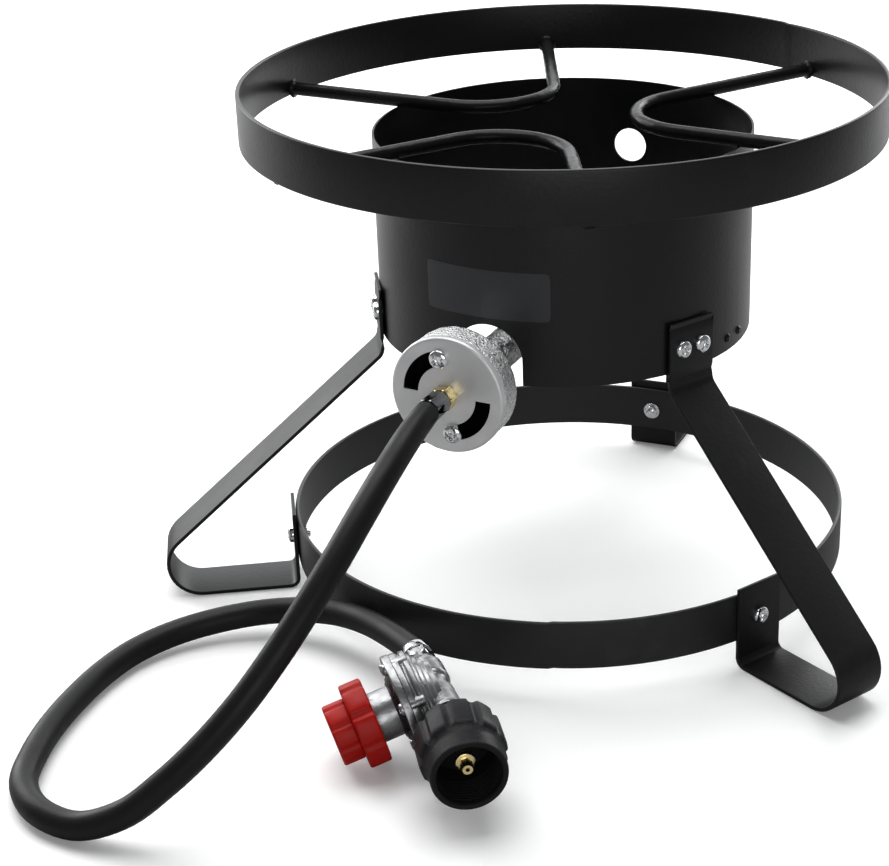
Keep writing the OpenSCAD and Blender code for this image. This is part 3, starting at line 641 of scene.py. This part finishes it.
# The neck's casting is coloured much darker than the bell: painted shade, for the dark guard that it reflects.
# Its skin is smoother, with a mould seam along each side
skin, bsdf, add, link, coords = shader("neck casting with painted shade", (0.2, 0.202, 0.207), 0.3, metallic=1.0)
link(mottle(add, link, coords, 240, 0.2, 0.4), bsdf.inputs["Roughness"])
tint(add, link, bsdf, mottle(add, link, coords, 160, 0, 1, detail=6), (0.1, 0.101, 0.104), (0.42, 0.425, 0.43))
bump(add, link, bsdf, mottle(add, link, coords, 240, 0, 1, detail=5), 0.8, 0.002)


def seamed(a, r, z):
    """Mould seams and shallow lumps on the neck's outside. The bore stays smooth."""
    if r < 10:
        return r, z
    seam = 0.7 * max(0, 1 - abs(math.sin(a)) / 0.09)
    return r - 0.2 + seam + grain(Vector((10 * math.cos(a), 10 * math.sin(a), z)), 5, 0.25), z


bm = bmesh.new()
outline = [Vector((10.9, 44 + 83.2 * k / 60)) for k in range(61)] + [Vector((7.2, 127.2)), Vector((7.2, 44))]
lathe(bm, outline, burner, steps=180, wave=seamed)
piece("burner_neck", bm, skin, "stand", "rough_casting")

# Web across the mouth, with its two air openings, and a thin lining inside the bell: both coloured black as
# painted shade, for the dark inside of the bell
bell_shade_black, bsdf, add, link, coords = shader("black painted shade in bell", (0.007, 0.007, 0.0075), 0.7, level=0.06)
link(mottle(add, link, coords, 90, 0.6, 0.8), bsdf.inputs["Roughness"])
bump(add, link, bsdf, mottle(add, link, coords, 500, 0, 1), 0.06, 0.0002)


def windowed(bm, profile, steps, start, sweep, rows):
    """Disc of (radius, height) rings with two arc windows, open in the given rows.

    The first window begins at the angle start and spans sweep, both in degrees."""
    made = [[bm.verts.new(p) for p in circle(r, z, burner, steps)] for r, z in profile]
    faces = []
    for i in range(len(made) - 1):
        for k in range(steps):
            t = (360 * (k + 0.5) / steps - start) % 180
            if i in rows and t < sweep:
                continue
            n = (k + 1) % steps
            faces.append(bm.faces.new((made[i][k], made[i][n], made[i + 1][n], made[i + 1][k])))
    return faces


bm = bmesh.new()
web = [(r, 159.4) for r in (5.1, 10, 16.7, 21, 25.3, 27)]
bmesh.ops.solidify(bm, geom=windowed(bm, web, 120, 202, 66, (2, 3)), thickness=5)
lathe(bm, [(26.55, 159.3), (26.55, 144.4), (7.15, 129.6), (7.15, 128.6), (6.5, 129), (26, 144.8), (26, 159.3)],
      burner, steps=96)
piece("bell_web", bm, bell_shade_black, "stand", "rough_casting")

# The port plate on the head is bare cast iron, burnt dark
iron, bsdf, add, link, coords = shader("burnt cast iron", (0.06, 0.06, 0.062), 0.62, metallic=0.4)
link(mottle(add, link, coords, 120, 0.5, 0.75), bsdf.inputs["Roughness"])
tint(add, link, bsdf, mottle(add, link, coords, 70, 0, 1), (0.035, 0.034, 0.035), (0.1, 0.098, 0.095))
bump(add, link, bsdf, mottle(add, link, coords, 500, 0, 1, detail=6), 0.6, 0.0006)
dress(iron, "burner_cap")

# The shutter: a disc with a turned down skirt and two arc-shaped air windows
dull, bsdf, add, link, coords = shader("dull zinc sheet", (0.8, 0.805, 0.81), 0.42, metallic=0.6)
link(mottle(add, link, coords, 45, 0.36, 0.5), bsdf.inputs["Roughness"])
tint(add, link, bsdf, mottle(add, link, coords, 30, 0, 1, detail=8), (0.68, 0.685, 0.69), (0.86, 0.865, 0.87))
bump(add, link, bsdf, mottle(add, link, coords, 1400, 0, 1, detail=3), 0.22, 0.0002)
bm = bmesh.new()
profile = [(r, 161) for r in (5.12, 8, 12, 16.7, 19, 21, 23, 25.3, 28, 30.4)]
for k in range(1, 9):
    a = math.radians(90 - 90 * k / 8)
    profile.append((30.9 + 1.75 * math.cos(a), 159.25 + 1.75 * math.sin(a)))
profile += [(32.68, 158.4), (32.68, 157.6), (32.68, 156.85)]
sheet = windowed(bm, profile, 240, 181, 87, (3, 4, 5, 6))
bmesh.ops.recalc_face_normals(bm, faces=bm.faces)
bmesh.ops.solidify(bm, geom=sheet, thickness=0.6)
cap = piece("air_shutter_plate", bm, dull, "shutter", "shutter_steel", "air_shutter", sharp=40)
soft = cap.modifiers.new("edges", "BEVEL")
soft.width, soft.segments, soft.limit_method, soft.angle_limit = 0.00012, 2, "ANGLE", math.radians(60)

bm = bmesh.new()
for k in (0, 1):
    place = burner @ Matrix.Rotation(math.radians(189 + 180 * k), 4, "Z") @ Matrix.Translation((21, 0, 161.12))
    pan_head(bm, place, 10.7, 3.6, 0.5 + 0.9 * k)
    shank(bm, place, 3.9, -6.4, 0.1)
piece("shutter_pan_screws", bm, plated, "stand", "bright_zinc", "shutter_screws")

brass, bsdf, add, link, coords = shader("machined brass", (0.95, 0.78, 0.4), 0.2, metallic=1.0)
link(mottle(add, link, coords, 250, 0.14, 0.34), bsdf.inputs["Roughness"])
bump(add, link, bsdf, mottle(add, link, coords, 900, 0, 1), 0.2, 0.0002)


def hex_bar(bm, place, af, low, high, chamfer=0.5, sides=6, core=0.3):
    """Solid bar with flats and chamfered ends."""
    ends = ((low, core), (low, af / 2 * 1.01), (low + chamfer, af),
            (high - chamfer, af), (high, af / 2 * 1.01), (high, core))
    loft(bm, [flat_sided(af, sides, corner, z, place, sides * 8) for z, corner in ends])


bm = bmesh.new()
hex_bar(bm, burner @ Matrix.Rotation(0.15, 4, "Z"), 11.9, 161.1, 168)
lathe(bm, rounded([(2.5, 153.5), (4.9, 153.5), (4.9, 162), (2.5, 162)], 0.3), burner, steps=48)
lathe(bm, rounded([(0.7, 145.5), (2.2, 145.5), (3.4, 154), (0.7, 154)], 0.3), burner, steps=32)
piece("jet_fitting", bm, brass, "stand", "brass", "orifice_fitting")

sleeve, bsdf, add, link, coords = shader("plated sleeve", (0.24, 0.242, 0.25), 0.13, metallic=1.0)
link(mottle(add, link, coords, 200, 0.09, 0.17), bsdf.inputs["Roughness"])
bump(add, link, bsdf, mottle(add, link, coords, 400, 0, 1), 0.05, 0.0003)
bm = bmesh.new()
lathe(bm, rounded([(2.5, 168.1), (5.4, 168.1), (5.4, 170.6), (2.5, 170.6)], 0.4), burner, steps=48)
hex_bar(bm, burner @ Matrix.Rotation(0.1, 4, "Z"), 12.9, 170.2, 183.3, chamfer=0.5, sides=8)
piece("burner_sleeve", bm, sleeve, "stand", "dark_chrome", "burner_ferrule", sharp=20)

# Bar that carries the burner across the guard, and the bolt through it
dress(guard_coat, "burner_bar", "bar_rivets")
dress(plated, "cap_screw", "head_bolt")

# ---- Regulator ---------------------------------------------------------------
# Two-part zinc die casting round a rubber diaphragm, screwed together at six
# bosses. The hose is crimped in its tail. Its spring tube carries the knob.
reg = (Matrix.Translation((-85, -227, 30.2)) @ Matrix.Rotation(math.radians(-72), 4, "Z")
       @ Matrix.Rotation(math.radians(-1), 4, "Y") @ Matrix.Rotation(math.radians(15.5), 4, "X"))
gas = reg @ Matrix.Translation((0, 17, 0)) @ Matrix.Rotation(math.radians(90), 4, "Y")
inlet = (reg @ Matrix.Translation((33, 17, 0)) @ Matrix.Rotation(math.radians(-6), 4, "Z")
         @ Matrix.Translation((-33, 0, 0)) @ Matrix.Rotation(math.radians(90), 4, "Y"))
knob = reg @ Matrix.Rotation(math.radians(90), 4, "X")
zinc, bsdf, add, link, coords = shader("die-cast zinc", (0.36, 0.364, 0.37), 0.32, metallic=1.0)
link(mottle(add, link, coords, 180, 0.24, 0.42), bsdf.inputs["Roughness"])
tint(add, link, bsdf, mottle(add, link, coords, 60, 0, 1, detail=6), (0.27, 0.273, 0.277), (0.46, 0.464, 0.47))
bump(add, link, bsdf, mottle(add, link, coords, 300, 0, 1, detail=4), 0.14, 0.0006)
polished, bsdf, add, link, coords = shader("polished zinc", (0.42, 0.424, 0.43), 0.1, metallic=1.0)
link(mottle(add, link, coords, 150, 0.07, 0.18), bsdf.inputs["Roughness"])
bump(add, link, bsdf, mottle(add, link, coords, 200, 0, 1), 0.06, 0.0004)

# In the knob's frame Z runs toward the knob, so the body lies below zero
bosses = [knob @ Matrix.Translation((24.5 * math.cos(a), 24.5 * math.sin(a), 0))
          for a in (math.radians(60 * k + 30) for k in range(6))]
bm = bmesh.new()
barrel = [(20, -0.45), (27.9, -0.45), (27.9, -3.9), (26, -4.5), (26, -5.6), (27.2, -6.2), (27.2, -8.6),
          (24.4, -9), (24.2, -10.6), (22.2, -11), (21.9, -13), (20, -13.4), (19.6, -15.6), (17.9, -16),
          (17, -18.9), (0.3, -18.9), (0.3, -8), (20, -8)]
lathe(bm, rounded(barrel, 0.5), knob, steps=128)
for place in bosses:
    lathe(bm, rounded([(0.3, -0.5), (3.9, -0.5), (3.9, -8.7), (0.3, -8.7)], 0.6), place, steps=32)
gas_way = [(0.3, -30.8), (7, -30.8), (7.4, -24), (9.6, -23), (9.9, -21.5), (9.9, -8), (9, -6.6), (8.1, -5.6),
           (8.1, 1.6), (8.9, 3), (9, 4.6), (9, 22), (9.9, 23.4), (9.9, 26.8), (0.3, 26.8)]
lathe(bm, rounded(gas_way, 0.8), gas, steps=64)
hex_bar(bm, gas @ Matrix.Rotation(math.radians(45), 4, "Z"), 13.6, -30.6, -25, chamfer=0.6, sides=4)
hex_bar(bm, gas, 17.6, 25.2, 32, chamfer=0.9)
piece("regulator_casting", bm, zinc, "stand", "die_cast_zinc", "regulator_body", sharp=40)
bm = bmesh.new()
lathe(bm, rounded([(4.1, 31.5), (7.9, 31.5), (7.9, 48.4), (4.1, 48.4)], 0.6), inlet, steps=64)
piece("nut_neck", bm, polished, "stand", "die_cast_zinc")

# The lid: a cast rim over the diaphragm's edge, with a dish inside it. The dish is coloured dark: a dark
# finish, and also painted reflection of the dark parts that face it
bm = bmesh.new()
rim = [(20, 0.45), (28.2, 0.45), (28.2, -0.45), (28.35, -0.45), (28.35, 3.5), (24, 3.5), (23.6, 2.2), (20, 2.2)]
lathe(bm, rounded(rim, 0.5), knob, steps=128)
for place in bosses:
    lathe(bm, rounded([(0.3, 0.5), (3.9, 0.5), (3.9, 3.35), (0.3, 3.35)], 0.5), place, steps=32)
piece("regulator_lid", bm, zinc, "stand", "die_cast_zinc", "regulator_cover", sharp=40)
dish, bsdf, add, link, coords = shader("dark lid dish", (0.05, 0.05, 0.052), 0.26, metallic=0.7)
link(mottle(add, link, coords, 200, 0.2, 0.4), bsdf.inputs["Roughness"])
bump(add, link, bsdf, mottle(add, link, coords, 420, 0, 1, detail=4), 0.5, 0.0006)
bm = bmesh.new()
hollow = [(12, 0.6), (23.4, 0.6), (23.4, 2.4), (21.6, 3), (20.9, 3.6), (20.2, 3.3), (17.4, 4.9),
          (16.6, 5.6), (15.8, 5.6), (14.6, 6.4), (12, 6.4)]
lathe(bm, rounded(hollow, 0.35), knob, steps=128)
piece("lid_dish", bm, dish, "stand", "die_cast_zinc")
bm = bmesh.new()
lathe(bm, rounded([(10.6, 0.5), (13.45, 0.5), (13.45, 18.95), (10.6, 18.95)], 0.5), knob, steps=96)
lathe(bm, [(4.1, 13.4), (10.8, 13.4), (10.8, 18.6), (4.1, 18.6)], knob, steps=64)
piece("spring_tube", bm, zinc, "stand", "die_cast_zinc")
bm = bmesh.new()
for k, boss in enumerate(bosses):
    place = boss @ Matrix.Translation((0, 0, 3.45))
    pan_head(bm, place, 6.4, 2.1, 0.7 * k)
    shank(bm, place, 3.4, -8.9, 0.1)
piece("lid_screws", bm, zinc, "stand", "bright_zinc", "cover_screws")

# Tail where the hose is crimped
bm = bmesh.new()
tail = gas @ Matrix.Translation((0, 0, -43.95))
lathe(bm, rounded([(2, 0), (8.4, 0), (8.4, 6), (2, 6)], 0.7), tail, steps=64)
hex_bar(bm, tail, 14.9, 5.9, 12.8, chamfer=0.7)
lathe(bm, [(2, 12), (4.45, 12), (4.45, 19.9), (2, 19.9)], tail, steps=48)
piece("hose_tail", bm, polished, "stand", "die_cast_zinc", "tail_ferrule")
dress(rubber, "diaphragm", "nipple_seal")
dress(plated, "spring_plate", "reg_spring", "knob_screw")

# ---- Control knob ------------------------------------------------------------
# Moulded red plastic: a lobed wheel with a smaller lobed hub. It is pressed on
# the adjusting screw and turns over the end of the spring tube.
red, bsdf, add, link, coords = shader("red plastic", (0.42, 0.007, 0.004), 0.36, level=0.16)
bsdf.inputs["Subsurface Weight"].default_value = 0.05
bsdf.inputs["Subsurface Radius"].default_value = (0.004, 0.001, 0.001)
link(mottle(add, link, coords, 80, 0.28, 0.46), bsdf.inputs["Roughness"])
tint(add, link, bsdf, mottle(add, link, coords, 25, 0, 1), (0.38, 0.006, 0.003), (0.48, 0.009, 0.005))
bump(add, link, bsdf, mottle(add, link, coords, 600, 0, 1), 0.12, 0.0003)


def lobes(d, n, depth, width, inset=0.0):
    """Points round a grip with n grooves, pulled in by inset."""
    out = []
    for k in range(n * 24):
        t = (k / 24) % 1
        a = math.tau * k / (n * 24)
        g = min(t, 1 - t) * d * math.pi / n
        r = d / 2 - 0.02 * g - depth * max(0, 1 - (g / width) ** 2) ** 0.8 - inset
        out.append((r * math.cos(a), r * math.sin(a)))
    return out


def grip(bm, place, d, n, depth, width, low, high, ease, bore=2.0, socket=0.0, deep=0.0):
    """Lobed wheel with rounded edges. A socket of that radius is sunk in its low face."""
    quarter = [math.radians(90 * k / 4) for k in range(5)]
    bottom = [(low + ease * (1 - math.cos(t)), ease * (1 - math.sin(t))) for t in quarter]
    top = [(high + low - z, i) for z, i in reversed(bottom)]
    made = [[place @ Vector((x, y, z)) for x, y in lobes(d, n, depth, width, i)] for z, i in bottom + top]
    count = len(made[0])
    start = [circle(bore, low + deep, place, count)]
    if socket:
        start += [circle(socket, low + deep, place, count), circle(socket, low, place, count)]
    loft(bm, start + made + [circle(bore, high, place, count)])


bm = bmesh.new()
# The wheel's low face is sunk 3 mm so that it turns over the spring tube
grip(bm, knob, 45.9, 8, 1.5, 2.4, 17.45, 29.35, 1.2, socket=14.1, deep=2.95)
grip(bm, knob, 32.9, 8, 1.1, 1.8, 29.0, 41.3, 1.4)
piece("red_knob", bm, red, "knob", "red_plastic", "control_knob", sharp=45)

# ---- Coupling ----------------------------------------------------------------
# Black plastic nut with a screw thread in its mouth. It turns freely on the
# neck of the inlet, round a brass nipple that is screwed into the casting.
black, bsdf, add, link, coords = shader("black plastic", (0.012, 0.012, 0.0135), 0.48, level=0.11)
link(mottle(add, link, coords, 60, 0.34, 0.52), bsdf.inputs["Roughness"])
bump(add, link, bsdf, mottle(add, link, coords, 900, 0, 1), 0.25, 0.0003)
bm = bmesh.new()
gripped = [(44, 1.4), (45.1, 0.3), (46.5, 0), (62, 0), (64.5, 0.3), (65.8, 1.1)]
collar = [(20.9, 66.4), (20, 69.3), (19.7, 70.5), (19.65, 79.8), (19.4, 80.8), (18.8, 81.4), (17.6, 81.4),
          (16.9, 81.1), (16.4, 80.3)]
thread = []
for k in range(9):
    z = 78.5 - 2.2 * k
    thread += [(16.35, z), (16.35, z - 0.9), (16.8, z - 1.3), (16.8, z - 1.8)]
bottom = [(16.4, 58), (16.4, 49.6), (8.1, 49.6)]
around_nut = 10 * 24
rings = [circle(r, z, inlet, around_nut) for r, z in ((8.1, 43.6), (19.5, 43.6))]
rings += [[inlet @ Vector((x, y, z)) for x, y in lobes(45.3, 10, 1.8, 2.7, inset)] for z, inset in gripped]
rings += [circle(r, z, inlet, around_nut) for r, z in collar + thread + bottom]
loft(bm, rings, closed=True)
piece("black_coupling", bm, black, "coupling", "black_plastic", "coupling_nut", sharp=35)

bm = bmesh.new()
nipple = [(1.1, 38.6), (3.95, 38.6), (3.95, 50.3), (10.9, 50.3), (10.9, 52.5), (3.75, 52.5), (3.75, 66.2),
          (5.2, 66.2), (5.2, 68.9), (3, 69.4), (1.1, 69.4)]
lathe(bm, rounded(nipple, 0.35), inlet, steps=64)
tip = ((69, 1.1), (69, 3.2), (74.6, 3.2), (75.3, 2.6), (75.3, 1.1), (71, 1.1))
loft(bm, [flat_sided(5.5, 6, corner, z, inlet, 48) for z, corner in tip], closed=True)
piece("brass_nipple", bm, brass, "stand", "brass", "inlet_nipple", sharp=40)

scene.view_settings.view_transform = "Standard"
